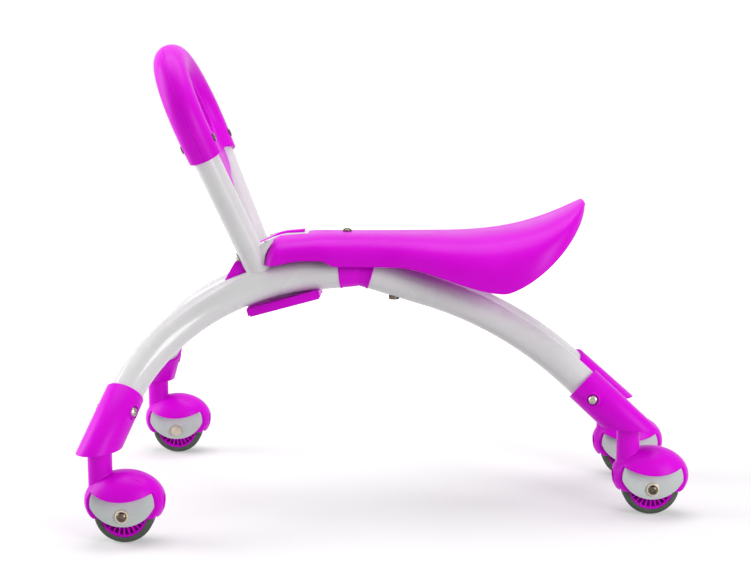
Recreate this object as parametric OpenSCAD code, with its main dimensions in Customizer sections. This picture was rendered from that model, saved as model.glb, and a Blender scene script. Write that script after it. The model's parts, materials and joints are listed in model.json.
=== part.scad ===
/* [Stance] */
// Distance from the front wheel axles to the rear wheel axles
wheelbase = 466; // [440:1:500]
// Distance between the two front caster stems
front_track = 281; // [250:1:310]
// Distance between the two rear caster stems
rear_track = 117; // [115:1:150]
// Height of the underside of the four caster sockets
socket_z = 80.5; // [76:0.5:90]

/* [Wheels] */
// Outside diameter of a tyre
wheel_d = 52; // [48:0.5:54]
// Width of a tyre
tyre_w = 19; // [17:0.5:20]
// Radius of the rounded tyre shoulder
tyre_round = 4; // [2:0.5:5]
// Outside diameter of the hub under the tyre
hub_d = 41; // [38:0.5:43]
// Width of the hub rim
hub_w = 18; // [15:0.5:19]
// Thickness of the hub rim
hub_rim = 1.8; // [1.2:0.1:2.5]
// Outside diameter of the hub boss
boss_d = 13; // [12.5:0.5:16]
// Number of radial ribs round the hub
hub_ribs = 24; // [12:1:26]
// Thickness of one hub rib
rib_t = 1.3; // [0.9:0.1:1.4]
// Diameter of the axle bolt
axle_d = 6; // [5:0.5:7]

/* [Caster housing] */
// Trail from the caster stem to the wheel axle
trail = 20.7; // [18:0.1:24]
// Length of the domed housing
dome_l = 70; // [66:0.5:74]
// Round cross-section of the dome
dome_d = 53; // [50:0.5:56]
// Height of the middle of the dome
dome_z = 36; // [34:0.5:38]
// Lower edge of the dome at its two ends
dome_bottom = 23; // [21:0.5:25]
// Diameter of the housing stem
stem_d = 20.8; // [18:0.1:24]
// Width of the wheel well
well_w = 22.4; // [21:0.1:24]
// Gap between the tyre and the roof of the well
well_gap = 2.4; // [1.5:0.1:4]
// Thickness of each cheek beside the well
cheek_t = 1.8; // [1.4:0.1:2.4]
// Diameter of the round pocket in each end of the dome
pocket_d = 12.4; // [10:0.2:14]
// Height of the middle of the pockets
pocket_z = 35; // [33:0.5:37]
// Depth of the pockets below the tips of the dome
pocket_depth = 3.6; // [2:0.1:4]
// Thickness of a pale side plate
plate_t = 2.6; // [2:0.1:3.5]
// Lowest point of a side plate
plate_bottom = 16.4; // [15:0.1:18]
// Height of the side plate tips
plate_tip_z = 46; // [44:0.1:48]
// Height of the side plate edge under the middle of the lid
plate_mid_z = 41.2; // [39:0.1:43]
// Half width of a side plate
plate_half = 27.4; // [25.5:0.1:28.5]
// Radius of the lower edge of a side plate
plate_r = 30; // [28:0.5:34]
// Radius of the two end curves of a side plate
plate_end_r = 22; // [19:0.5:24]

/* [Swivel] */
// Diameter of the steel swivel pin
pin_d = 8; // [6:0.5:9]
// Height of the pin above the socket underside
pin_rise = 13.5; // [10:0.5:14]
// Depth of the pin in the stem
pin_depth = 16; // [9:0.5:18]
// Wall of the bush round the pin
bush_t = 1.6; // [1.2:0.1:2]

/* [Frame tubes] */
// Outside diameter of a front tube
front_tube_d = 30; // [28:0.5:31]
// Outside diameter of a rear tube
rear_tube_d = 28; // [26:0.5:30]
// Wall of the frame tubes
tube_t = 1.5; // [1:0.1:2.5]
// Half distance between the left and right tubes at the middle joint
tube_y = 21.5; // [20:0.5:24]
// Height of the front tube centre at the middle joint
front_end_z = 217.5; // [214:0.5:221]
// Height of the rear tube centre at the middle joint
rear_end_z = 215.5; // [212:0.5:219]
// Fall of the front tube where it leaves the middle joint, in degrees
front_slope = 5.6; // [3:0.1:9]
// Fall of the rear tube where it leaves the middle joint, in degrees
rear_slope = 17; // [13:0.1:19]
// Straight run of a front tube before its bend
front_straight = 27; // [20:1:34]
// Straight run of a rear tube before its bend
rear_straight = 56; // [40:1:60]
// Straight run of a front tube from its bend to the socket
front_run = 49.1; // [40:0.1:60]
// Straight run of a rear tube from its bend to the socket
rear_run = 65.9; // [56:0.1:80]

/* [Sockets and joint] */
// Outside diameter of a socket sleeve
sleeve_d = 34.4; // [34:0.1:37]
// Length of a socket sleeve along its tube
sleeve_l = 57; // [52:1:64]
// Distance from the socket underside to the tube end, along the tube
tube_stop = 20; // [18:0.5:24]
// Place of the front face of the middle joint
joint_front_x = -53; // [-56:0.5:-50]
// Place of the rear face of the middle joint
joint_rear_x = -22.5; // [-26:0.5:-20]
// Length of a joint spigot inside a tube
spigot_l = 30; // [28:1:36]
// Raised rim at each end of the middle joint
joint_lip = 1.2; // [0.6:0.1:2]
// Clearance of the fits, on the radius
fit = 0.08; // [0.04:0.01:0.1]

/* [Handle] */
// Diameter of the handle tube
handle_d = 24; // [22:0.5:25.5]
// Lean of the handle from upright, in degrees
handle_lean = 22.7; // [20:0.1:25]
// Half angle between the two limbs, in degrees
limb_angle = 14.5; // [13:0.1:16]
// Radius of the top bend of the handle
loop_r = 59.5; // [57:0.5:64]
// Height of the handle feet
foot_z = 222; // [220:0.5:226]
// Distance of the handle feet in front of the origin
foot_x = 128; // [125:0.5:131]
// Half distance between the handle feet
foot_y = 24; // [22:0.5:26]
// Outside diameter of the grip covers
grip_d = 30.5; // [28:0.5:33]
// Distance along the handle from the feet to the end of the grip covers
grip_from = 111; // [104:1:116]
// Distance along the handle from the feet to the tip of the apron
apron_tip = 75; // [68:1:82]
// Radius of the tip of the apron
apron_round = 6; // [4:0.5:8]
// Thickness of the apron
apron_t = 12; // [9:0.5:16]
// Distance along the handle from the feet to the foot of the hand opening
hole_from = 118; // [114:1:124]
// Radius of the upper curve of the hand opening
hole_r = 33; // [28:0.5:36]
// Radius of the foot of the hand opening
hole_foot_r = 8; // [6:0.5:12]

/* [Cradle and clamp] */
// Length of the cradle toe in front of the handle feet
toe_l = 33; // [30:0.5:36]
// Half width of the cradle
cradle_half = 27; // [24:0.5:30]
// Height of the cradle block under the saddle
cradle_top = 236; // [234:0.5:240]
// Place of the front edge of the clamp plate
clamp_front = -138; // [-142:0.5:-134]
// Place of the rear edge of the clamp plate
clamp_back = -69; // [-72:0.5:-66]
// Height of the rear edge of the clamp plate
clamp_top_z = 203; // [202:0.5:205]
// Tilt of the clamp plate, in degrees
clamp_tilt = 15; // [13:0.5:17]
// Thickness of the clamp plate
clamp_t = 8; // [6:0.5:10]
// Half width of the clamp plate
clamp_half = 38; // [36:0.5:42]
// Half width of the handle bracket
bracket_half = 35; // [32:0.5:38]
// Half width of the bracket tongue on the saddle
tongue_half = 21; // [16:0.5:26]
// Half width of the nose cover
cover_half = 9.5; // [7:0.5:14]
// Thickness of the nose cover
cover_t = 2.2; // [1.6:0.1:3]

/* [Saddle] */
// Height of the flat of the saddle
seat_z = 253; // [251:0.5:256]
// Distance of the saddle nose in front of the origin
nose_x = 121; // [119:0.5:123]
// Length of the rounded nose
nose_l = 18; // [16:0.5:22]
// Fall of the saddle top under the handle bracket
nose_dip = 2.4; // [1:0.1:4]
// Radius of the nose corners seen from above
nose_corner = 14; // [10:0.5:18]
// Distance of the saddle tail behind the origin
tail_x = 175; // [160:1:185]
// Half width of the saddle nose
nose_half = 45; // [44:0.5:48]
// Half width of the saddle at its widest place
seat_half = 73; // [60:0.5:80]
// Place of the widest section
wide_x = 100; // [90:1:110]
// Place where the tail begins to rise
rise_from = 30; // [10:1:50]
// Rise of the tail above the flat
tail_rise = 32; // [20:0.5:40]
// Height of the tail lip
lip_h = 4; // [3.5:0.1:6]
// Lower edge of the skirt along the front
skirt_z = 225; // [223:0.5:229]
// Lower edge of the skirt at its lowest place
skirt_low_z = 204.5; // [200:0.5:210]
// Place where the skirt is lowest
low_x = 97; // [85:1:105]
// Wall of the saddle shell
seat_t = 3; // [2.4:0.1:3.4]
// Fullness of the saddle section, 2 is an ellipse
fullness = 2.8; // [2.4:0.1:3.4]

/* [Hidden] */
$fn = 64;
purple = "#d414d8";
white = "#e6e6e8";
pale = "#c8cdcd";
steel = "#b9b4a8";
rubber = "#5e6058";

// Caster stems: each stands in front of its own axle by the trail
front_stem = [-wheelbase / 2 - trail, front_track / 2, socket_z];
rear_stem = [wheelbase / 2 - trail, rear_track / 2, socket_z];
axle_z = wheel_d / 2;
front_start = [joint_front_x, tube_y, front_end_z];
rear_start = [joint_rear_x, tube_y, rear_end_z];

// A tube leaves its start along a falling line, bends in one plane and runs straight to
// the middle of its socket: tilt of the bend plane, bend angle, last run, direction and
// bend radius. The bend has the radius that touches both straight runs.
function tube_path(start, to, sx, slope, straight, run) =
    let (ax = [sx * cos(slope), 0, -sin(slope)],
         v = to - start,
         u = v * ax,
         side = v - u * ax,
         w = norm(side),
         tilt = asin(side.y / w),
         p = u - straight,
         touch = (p * p + w * w - run * run) / (2 * (p + run)),
         bend = atan2(w, p - touch),
         dir = cos(bend) * ax + sin(bend) * side / w)
    [tilt, bend, run, dir, touch / tan(bend / 2)];
front_path = tube_path(front_start, front_stem, -1, front_slope, front_straight, front_run);
rear_path = tube_path(rear_start, rear_stem, 1, rear_slope, rear_straight, rear_run);

// Wheel well, cheeks and side plates, measured from the middle of the caster
cheek_y = well_w / 2 + cheek_t;
plate_y = cheek_y + plate_t;
well_r = wheel_d / 2 + well_gap;
plate_tip = plate_half - 2.4;
plate_border = 0.8;
plate_end_x = plate_half - plate_end_r;
plate_end_z = plate_tip_z - sqrt(pow(plate_end_r, 2) - pow(plate_tip - plate_end_x, 2));
lid_rise = plate_tip_z - plate_mid_z;
lid_r = (plate_tip * plate_tip + lid_rise * lid_rise) / (2 * lid_rise);
hub_gap = 0.3;
web_t = 2;

// Swivel: the pin turns in a bush and a ring in its groove keeps it there
stem_top = socket_z - hub_gap;
bush_d = pin_d + 2 * bush_t;
bush_h = pin_rise - 2.8;
ring_t = 1;
ring_gap = 0.1;
groove_d = pin_d - 1.6;
pin_room = 1;

// Fasteners
washer_d = 12;
washer_t = 1.2;
cap_d = 8.8;
cap_edge = 1;
cap_h = 3.2;
cap_r = (pow(cap_d / 2, 2) + pow(cap_h - cap_edge, 2)) / (2 * (cap_h - cap_edge));
key_d = 4;
key_h = 1.6;
flat_head_d = 10.8;
flat_head_h = 2.4;
screw_d = 5;
screw_head_d = 8.4;
screw_recess_d = 11;
screw_recess = 1.4;
screw_from = 40;
hole_d = screw_d + 2 * fit;

// Handle: the limbs meet the top bend where both have the same direction
limb_run = (loop_r * cos(limb_angle) - foot_y) / tan(limb_angle);
loop_w = limb_run + loop_r * sin(limb_angle);
foot_drop = 8;
function limb_y(w) = foot_y + w * tan(limb_angle);
grip_screw_w = 125;
grip_screw_d = 4;
grip_head_d = 7.4;
grip_head_h = 2.2;
foot_bolt_w = 15.5;
foot_bolt_end = 19;

// Saddle fixings: bosses on the middle joint, the cradle and the two rear tubes
web_bottom = front_end_z - 12;
web_top = front_end_z + 13;
seat_screw_x = -46;
nose_screw_x = -97;
under_screw_x = -2;
seat_boss_d = 14;
under_boss_d = 12;
core_top = seat_z - seat_t - 0.2;
under_boss_drop = 2.7;
nose_boss_drop = 0.8;
rib_drop = 0.5;
notch_gap = 0.4;
notch_n = 8;
head_sink = 0.45;
seat_clear = 0.05;
rib_low = cradle_top + 4;
block_front = -104;
block_back = -76;
upright_back = -113;
shoulder_front = -117;
shoulder_back = -108;
tongue_t = 2.2;
tongue_back = -82;
seat_gap = 0.15;
nose_back = -nose_x + nose_l;
nose_n = 8;
mid_n = 14;
tail_n = 11;
dip_x = nose_back + 2 * (wide_x - nose_back) / mid_n;
clamp_spots = [[8, 28], [52, 28]];

module for_left(left) {
    mirror([0, left ? 1 : 0, 0]) children();
}

module both_sides() {
    for (left = [false, true]) for_left(left) children();
}

// Turns the Z axis onto a direction and keeps the local Y axis level
module aim(dir) {
    rotate([0, acos(dir.z / norm(dir)), atan2(dir.y, dir.x)]) children();
}

// Flat shape in X and Z, as thick as twice the half width
module side_extrude(half) {
    rotate([90, 0, 0]) linear_extrude(2 * half, center = true) children();
}

// Rounded bolt head with a hexagon socket, standing on the plane z = 0
module cap_head() {
    difference() {
        union() {
            cylinder(d = cap_d, h = cap_edge);
            intersection() {
                translate([0, 0, cap_h - cap_r]) sphere(cap_r);
                translate([0, 0, cap_edge]) cylinder(d = 2 * cap_d, h = cap_h);
            }
        }
        translate([0, 0, cap_h - key_h]) cylinder(d = key_d, h = cap_h, $fn = 6);
    }
}

// Bar along a tube path, from before its start to short of the socket centre. The straight
// runs lap the bend by a hair and are a hair thicker, so the three make one clean solid.
lap = 0.6;
lap_step = 0.1;
module along_path(path, straight, d, stop, grow = 0) {
    r = path[4];
    translate([-grow, 0, 0]) rotate([0, 90, 0]) cylinder(d = d, h = straight + grow + lap);
    translate([straight, 0, -r]) rotate([90, 0, 0]) rotate([0, 0, 90 - path[1]])
        rotate_extrude(angle = path[1], $fn = 180) translate([r, 0]) circle(d = d - lap_step);
    translate([straight, 0, -r]) rotate([0, path[1], 0]) translate([-lap, 0, r])
        rotate([0, 90, 0]) cylinder(d = d, h = path[2] - stop + grow + lap);
}

module front_bar(d, stop, grow = 0) {
    translate(front_start) mirror([1, 0, 0]) rotate([0, front_slope, 0])
        rotate([front_path[0], 0, 0]) along_path(front_path, front_straight, d, stop, grow);
}

module rear_bar(d, stop, grow = 0) {
    translate(rear_start) rotate([0, rear_slope, 0]) rotate([rear_path[0], 0, 0])
        along_path(rear_path, rear_straight, d, stop, grow);
}

// Place of a socket screw, level and square to the sleeve
module across_sleeve(stem, path) {
    translate(stem) aim(-path[3]) translate([0, 0, screw_from]) rotate([90, 0, 0]) children();
}

module front_tube(left) {
    color(white) for_left(left) difference() {
        front_bar(front_tube_d, tube_stop);
        front_bar(front_tube_d - 2 * tube_t, tube_stop, 1);
        across_sleeve(front_stem, front_path) cylinder(d = hole_d, h = 60, center = true);
    }
}

module rear_tube(left) {
    color(white) for_left(left) difference() {
        rear_bar(rear_tube_d, tube_stop);
        rear_bar(rear_tube_d - 2 * tube_t, tube_stop, 1);
        across_sleeve(rear_stem, rear_path) cylinder(d = hole_d, h = 60, center = true);
        under_screw_hole();
    }
}

module under_screw_hole() {
    translate([under_screw_x, tube_y, web_bottom - 25]) cylinder(d = hole_d, h = 62);
}

// Sleeve that holds a tube above and the swivel bush of a caster below
module socket(stem, path, d) {
    color(purple) difference() {
        intersection() {
            translate(stem) aim(-path[3]) rotate([0, 0, 90]) translate([0, 0, -sleeve_d])
                cylinder(d = sleeve_d, h = sleeve_l + sleeve_d);
            translate([stem.x - 80, stem.y - 80, socket_z]) cube([160, 160, 80]);
        }
        translate(stem) aim(-path[3]) translate([0, 0, tube_stop])
            cylinder(d = d + 2 * fit, h = sleeve_l);
        translate(stem - [0, 0, 1]) cylinder(d = bush_d + 2 * fit, h = pin_rise + pin_room + 1);
        across_sleeve(stem, path) cylinder(d = hole_d, h = 60, center = true);
        across_sleeve(stem, path) translate([0, 0, -sleeve_d / 2 + screw_recess - 10])
            cylinder(d = screw_recess_d, h = 10);
    }
}

module front_socket(left) {
    for_left(left) socket(front_stem, front_path, front_tube_d);
}

module rear_socket(left) {
    for_left(left) socket(rear_stem, rear_path, rear_tube_d);
}

module swivel_bushes() {
    color("dimgray") both_sides() for (stem = [front_stem, rear_stem])
        translate(stem) difference() {
            cylinder(d = bush_d, h = bush_h);
            translate([0, 0, -1]) cylinder(d = pin_d + 2 * fit, h = pin_rise + 2);
        }
}

// Socket screws: a round head in the recess of the sleeve and a cap nut on the far side
module for_sockets() {
    both_sides() {
        across_sleeve(front_stem, front_path) children();
        across_sleeve(rear_stem, rear_path) children();
    }
}

module socket_screws() {
    color(steel) for_sockets() {
        translate([0, 0, -sleeve_d / 2 + screw_recess]) mirror([0, 0, 1]) cap_head();
        translate([0, 0, -sleeve_d / 2 + screw_recess / 2])
            cylinder(d = screw_d, h = sleeve_d + 1.4);
    }
}

module socket_nuts() {
    color(steel) for_sockets() translate([0, 0, sleeve_d / 2 + seat_clear]) difference() {
        union() {
            cylinder(d = screw_head_d, h = 2.4);
            translate([0, 0, 2.4]) cylinder(d1 = screw_head_d, d2 = screw_d, h = 1.6);
        }
        translate([0, 0, -1]) cylinder(d = hole_d, h = 3.2);
    }
}

// Coupler between the tube ends: flush barrels, spigots inside the tubes and a centre web
module middle_joint() {
    gap = joint_rear_x - joint_front_x;
    color(purple) difference() {
        union() {
            both_sides() {
                translate(front_start) rotate([0, 90 - front_slope, 0]) {
                    cylinder(d = front_tube_d, h = gap / 2 + 1);
                    cylinder(d = front_tube_d + joint_lip, h = 2);
                }
                translate(front_start) rotate([0, -90 - front_slope, 0])
                    cylinder(d = front_tube_d - 2 * tube_t - 2 * fit, h = spigot_l);
                translate(rear_start) rotate([0, -90 + rear_slope, 0]) {
                    cylinder(d = rear_tube_d, h = gap / 2 + 1);
                    cylinder(d = rear_tube_d + joint_lip, h = 2);
                }
                translate(rear_start) rotate([0, 90 + rear_slope, 0])
                    cylinder(d = rear_tube_d - 2 * tube_t - 2 * fit, h = spigot_l);
            }
            translate([joint_front_x + 3, -tube_y, web_bottom])
                cube([gap - 6, 2 * tube_y, web_top - web_bottom]);
        }
        translate([seat_screw_x, 0, web_bottom - 1]) cylinder(d = hole_d, h = 60);
        both_sides() under_screw_hole();
    }
}

// Cradle on the front tubes: a toe before the handle, a spine and a block for the saddle
module cradle() {
    toe = -foot_x - toe_l;
    color(purple) difference() {
        union() {
            side_extrude(cradle_half) polygon([
                [toe, foot_z - 16], [toe + 7, foot_z - 3], [toe + 12, foot_z + 5.4],
                [toe + 16, foot_z + 6], [toe + 25, foot_z + 2.5], [toe + 25, foot_z - 22],
                [toe + 6, foot_z - 27]]);
            side_extrude(foot_y - handle_d / 2 - 1) polygon([
                [toe + 24, foot_z - 22], [toe + 24, foot_z + 2.5], [block_front + 1, foot_z + 2.5],
                [block_front + 1, foot_z - 14]]);
            side_extrude(cradle_half - 1) polygon([
                [block_front, foot_z - 12], [block_front, cradle_top - 2],
                [block_front + 2, cradle_top], [block_back - 4, cradle_top],
                [block_back, cradle_top - 4], [block_back, foot_z - 8]]);
        }
        both_sides() front_bar(front_tube_d + 2 * fit, tube_stop);
        on_handle() both_sides() limb_bar(handle_d + 2 * fit, -foot_drop - 4);
        for (s = clamp_spots) on_clamp(s[0]) {
            cylinder(d = hole_d, h = 100, center = true);
            translate([0, 0, s[1]]) cylinder(d = cap_d + 2, h = 30);
        }
        translate([nose_screw_x, 0, foot_z]) cylinder(d = hole_d, h = 30);
    }
}

// Place on the top face of the clamp plate, measured from its rear edge
module on_clamp(t) {
    translate([clamp_back, 0, clamp_top_z]) rotate([0, -clamp_tilt, 0])
        translate([-t, 0, 0]) children();
}

module clamp_plate() {
    length = (clamp_back - clamp_front) / cos(clamp_tilt);
    edge = 1.5;
    color(purple) difference() {
        on_clamp(length) translate([0, 0, -clamp_t]) {
            translate([0, -clamp_half, edge]) cube([length, 2 * clamp_half, clamp_t - edge]);
            translate([edge, edge - clamp_half, 0])
                cube([length - 2 * edge, 2 * (clamp_half - edge), clamp_t]);
        }
        for (s = clamp_spots) on_clamp(s[0]) {
            cylinder(d = hole_d, h = 100, center = true);
            translate([0, 0, -clamp_t - 1]) cylinder(d = cap_d + 2, h = 5);
        }
        both_sides() front_bar(front_tube_d + 2 * fit, tube_stop);
    }
}

module clamp_bolts() {
    color(steel) for (s = clamp_spots) on_clamp(s[0]) {
        translate([0, 0, -clamp_t + 1]) cylinder(d = screw_d, h = s[1] + clamp_t - 0.5);
        translate([0, 0, s[1]]) cap_head();
    }
}

module clamp_nuts() {
    color(steel) for (s = clamp_spots) on_clamp(s[0]) translate([0, 0, -clamp_t + 0.2])
        difference() {
            cylinder(d = cap_d + 0.4, h = 3.8, $fn = 6);
            translate([0, 0, -1]) cylinder(d = hole_d, h = 6);
        }
}

// Handle plane: Z runs up the handle, X points backward out of it
module on_handle() {
    translate([-foot_x, 0, foot_z]) rotate([0, -handle_lean, 0]) children();
}

module limb_bar(d, from) {
    translate([0, foot_y, 0]) rotate([-limb_angle, 0, 0])
        translate([0, 0, from]) cylinder(d = d, h = limb_run / cos(limb_angle) - from + lap);
}

module loop_bar(d, from) {
    both_sides() limb_bar(d, from);
    translate([0, 0, loop_w]) rotate([90, 0, 90]) rotate([0, 0, -limb_angle])
        rotate_extrude(angle = 180 + 2 * limb_angle, $fn = 128) translate([loop_r, 0])
            circle(d = d - lap_step);
}

// Place on one limb, facing backward out of the handle
module on_limb(w) {
    on_handle() translate([0, limb_y(w), w]) rotate([0, 90, 0]) children();
}

module handle_tube() {
    color(white) difference() {
        on_handle() loop_bar(handle_d, -foot_drop);
        on_handle() loop_bar(handle_d - 2 * tube_t, -foot_drop - 1);
        both_sides() {
            front_bar(front_tube_d, tube_stop);
            on_limb(foot_bolt_w) cylinder(d = hole_d, h = 60, center = true);
            on_limb(grip_screw_w) cylinder(d = grip_screw_d + 2 * fit, h = 60, center = true);
        }
    }
}

// Height of the saddle top under the tongue, and the slope of the tongue
function tongue_z(x) = seat_z - nose_dip * (dip_x - x) / (dip_x - nose_back) + seat_gap;
tongue_slope = atan2(nose_dip, dip_x - nose_back);
tongue_low = tongue_z(nose_back);

// Outline of the bracket in X and Z: upright behind the limbs and tongue on the saddle
module bracket_outline() {
    difference() {
        polygon([
            [-foot_x - 3, foot_z + 2.5], [-foot_x - 3, tongue_low - 9.6],
            [shoulder_front, tongue_low - 3.4], [shoulder_back, tongue_low + tongue_t - 1.2],
            [nose_back, tongue_low + tongue_t], [tongue_back, tongue_z(tongue_back) + tongue_t],
            [tongue_back, tongue_z(tongue_back)], [nose_back, tongue_low],
            [nose_back, foot_z + 2.5]]);
        translate([nose_back, skirt_z]) scale([nose_l + seat_gap, tongue_low - skirt_z]) circle(1);
        translate([nose_back - nose_l - seat_gap, skirt_z - 10]) square([nose_l + 10, 10]);
    }
}

module handle_bracket() {
    color(white) difference() {
        union() {
            side_extrude(tongue_half) bracket_outline();
            intersection() {
                side_extrude(bracket_half) bracket_outline();
                translate([-foot_x - 10, -bracket_half - 1, foot_z])
                    cube([foot_x + 10 + upright_back, 2 * bracket_half + 2, 26]);
            }
        }
        on_handle() both_sides() limb_bar(handle_d + 2 * fit, -foot_drop);
        both_sides() on_limb(foot_bolt_w) {
            cylinder(d = hole_d, h = foot_bolt_end + 2);
            translate([0, 0, foot_bolt_end - 4]) cylinder(d = cap_d + 1, h = 30);
        }
        nose_screw_place() {
            translate([0, 0, -10]) cylinder(d = hole_d, h = 20);
            translate([0, 0, tongue_t - 1.8 - head_sink])
                cylinder(d1 = hole_d, d2 = hole_d + 4, h = 2);
            translate([0, 0, tongue_t - head_sink]) cylinder(d = hole_d + 4, h = 3);
        }
    }
}

// Place of the nose screw, where its axis meets the underside of the tongue
module nose_screw_place() {
    translate([nose_screw_x, 0, tongue_z(nose_screw_x)]) children();
}

module foot_bolts() {
    color(steel) both_sides() on_limb(foot_bolt_w) {
        translate([0, 0, -handle_d / 2 - 0.4]) cylinder(d = screw_d, h = foot_bolt_end + 12);
        translate([0, 0, -handle_d / 2]) mirror([0, 0, 1]) cap_head();
    }
}

module foot_nuts() {
    color(steel) both_sides() on_limb(foot_bolt_w) translate([0, 0, foot_bolt_end - 3.9])
        difference() {
            cylinder(d = cap_d + 0.2, h = 3.6, $fn = 6);
            translate([0, 0, -1]) cylinder(d = hole_d, h = 6);
        }
}

// Web of the grip in the handle plane: apron below, ring round the hand opening above
module apron_outline() {
    corner = [limb_y(grip_from) - grip_d / 2 / cos(limb_angle), grip_from];
    tip = [0, apron_tip + apron_round];
    a = atan2(corner.y - tip.y, corner.x) - acos(apron_round / norm(corner - tip));
    t = tip + apron_round * [cos(a), sin(a)];
    top = [0, limb_run];
    difference() {
        union() {
            translate(tip) circle(apron_round);
            translate([0, loop_w]) circle(loop_r);
            polygon([
                [0, tip.y], t, corner, [limb_y(grip_from), grip_from],
                [limb_y(limb_run), limb_run], [-limb_y(limb_run), limb_run],
                [-limb_y(grip_from), grip_from], [-corner.x, corner.y], [-t.x, t.y]]);
        }
        hand_opening();
    }
}

// Drop shape: a round foot, a wide round top and the two lines that touch both
module hand_opening() {
    top_w = loop_w + loop_r - grip_d / 2 - 4 - hole_r;
    foot_w = hole_from + hole_foot_r;
    a = asin((hole_r - hole_foot_r) / (top_w - foot_w));
    side = [cos(a), -sin(a)];
    translate([0, foot_w]) circle(hole_foot_r);
    translate([0, top_w]) circle(hole_r);
    polygon([
        [hole_foot_r * side.x, foot_w + hole_foot_r * side.y],
        [hole_r * side.x, top_w + hole_r * side.y],
        [-hole_r * side.x, top_w + hole_r * side.y],
        [-hole_foot_r * side.x, foot_w + hole_foot_r * side.y]]);
}

module grip_half(front) {
    color(purple) difference() {
        on_handle() difference() {
            union() {
                loop_bar(grip_d, grip_from / cos(limb_angle));
                rotate([90, 0, 90]) linear_extrude(apron_t, center = true) apron_outline();
            }
            loop_bar(handle_d + 2 * fit, grip_from - 20);
            translate([front ? 0 : -50, -100, 0]) cube([50, 200, 260]);
        }
        both_sides() on_limb(grip_screw_w) {
            cylinder(d = grip_screw_d + 2 * fit, h = 60, center = true);
            for (side = [0, 1]) mirror([0, 0, side]) translate([0, 0, grip_d / 2 - 1.4])
                cylinder(d = grip_head_d + 0.6, h = 10);
        }
    }
}

module grip_front() {
    grip_half(true);
}

module grip_rear() {
    grip_half(false);
}

module grip_screws() {
    color(steel) both_sides() on_limb(grip_screw_w) for (side = [0, 1]) mirror([0, 0, side]) {
        translate([0, 0, handle_d / 2 - 4])
            cylinder(d = grip_screw_d, h = (grip_d - handle_d) / 2 + 3.2);
        translate([0, 0, grip_d / 2 - 1.4]) difference() {
            cylinder(d = grip_head_d, h = grip_head_h);
            translate([0, 0, grip_head_h - 1]) cylinder(d = grip_head_d / 2, h = 2, $fn = 6);
        }
    }
}

// Saddle stations from nose to tail: place, half width, skirt edge and crown of each.
// The depth is 0 on the outer face and the wall thickness on the inner face.
last = nose_n + mid_n + tail_n;
arch_n = 20;

function smooth(t) = let (c = min(1, max(0, t))) c * c * (3 - 2 * c);

function station_x(i, depth) =
    i <= nose_n ? nose_back - (nose_l - depth) * cos(90 * i / nose_n)
    : i <= nose_n + mid_n ? nose_back + (wide_x - nose_back) * (i - nose_n) / mid_n
    : wide_x + (tail_x - depth - wide_x) * sin(90 * (i - nose_n - mid_n) / tail_n);

function half_width(x, depth) =
    x < nose_corner - nose_x
        ? nose_half - nose_corner + (nose_corner - depth)
            * sqrt(max(0, 1 - pow((nose_corner - nose_x - x) / (nose_corner - depth), 2)))
    : x <= wide_x
        ? nose_half - depth + (seat_half - nose_half) * smooth((x + rise_from) / (wide_x + rise_from))
    : (seat_half - depth) * sqrt(1 - 0.99 * pow(min(1, (x - wide_x) / (tail_x - depth - wide_x)), 2.2));

function skirt(x) =
    x < low_x ? skirt_z - (skirt_z - skirt_low_z) * smooth(x / low_x)
    : let (t = min(1, (x - low_x) / (tail_x - low_x)))
        skirt_low_z + (seat_z + tail_rise - lip_h - skirt_low_z)
            * (1 - pow(1 - pow(t, 1.4), 1 / 1.4));

function crown(i, x, depth) =
    i <= nose_n ? skirt(x) + (seat_z - nose_dip - depth - skirt(x)) * sin(90 * i / nose_n)
    : i == last ? skirt(x)
    : seat_z - depth - nose_dip * min(1, max(0, dip_x - x) / (dip_x - nose_back))
        + tail_rise * pow(max(0, x - rise_from) / (tail_x - rise_from), 2.8);

function arch(i, depth) =
    let (x = station_x(i, depth), w = half_width(x, depth), low = skirt(x),
         high = crown(i, x, depth))
    [for (j = [0:arch_n]) let (c = cos(180 * j / arch_n), s = sin(180 * j / arch_n))
        [x, w * sign(c) * pow(abs(c), 2 / fullness), low + (high - low) * pow(abs(s), 2 / fullness)]];

module saddle_shell() {
    row = arch_n + 1;
    under = (last + 1) * row;
    points = [for (depth = [0, seat_t], i = [0:last]) each arch(i, depth)];
    quads = concat(
        [for (i = [0:last - 1], j = [0:arch_n - 1])
            [i * row + j, (i + 1) * row + j, (i + 1) * row + j + 1, i * row + j + 1]],
        [for (i = [0:last - 1], j = [0:arch_n - 1])
            [under + i * row + j, under + i * row + j + 1,
             under + (i + 1) * row + j + 1, under + (i + 1) * row + j]],
        [for (i = [0:last - 1]) let (a = i * row, b = a + row)
            [b, a, under + a, under + b]],
        [for (i = [0:last - 1]) let (a = i * row + arch_n, b = a + row)
            [a, b, under + b, under + a]],
        [for (j = [0:arch_n - 1]) [j, j + 1, under + j + 1, under + j]],
        [for (j = [0:arch_n - 1]) let (a = last * row + j)
            [a + 1, a, under + a, under + a + 1]]);
    polyhedron(points, [for (q = quads, k = [0, 1]) k == 0 ? [q[0], q[1], q[2]] : [q[0], q[2], q[3]]]);
}

module rib(from, to, top) {
    run = to - from;
    translate([from.x, from.y, rib_low]) rotate([0, 0, atan2(run.y, run.x)])
        translate([0, -1, 0]) cube([norm(run), 2, top - rib_low]);
}

module saddle() {
    color(purple) difference() {
        saddle_shell();
        for (x = [seat_screw_x, nose_screw_x])
            translate([x, 0, web_bottom]) cylinder(d = hole_d, h = 80);
        on_handle() both_sides() limb_bar((handle_d + 2 * notch_gap) / cos(180 / notch_n),
            -foot_drop - 4, $fn = notch_n);
        both_sides() on_limb(foot_bolt_w) translate([0, 0, foot_bolt_end - 6])
            cylinder(d = cap_d + 3, h = 10, $fn = notch_n);
    }
}

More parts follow.
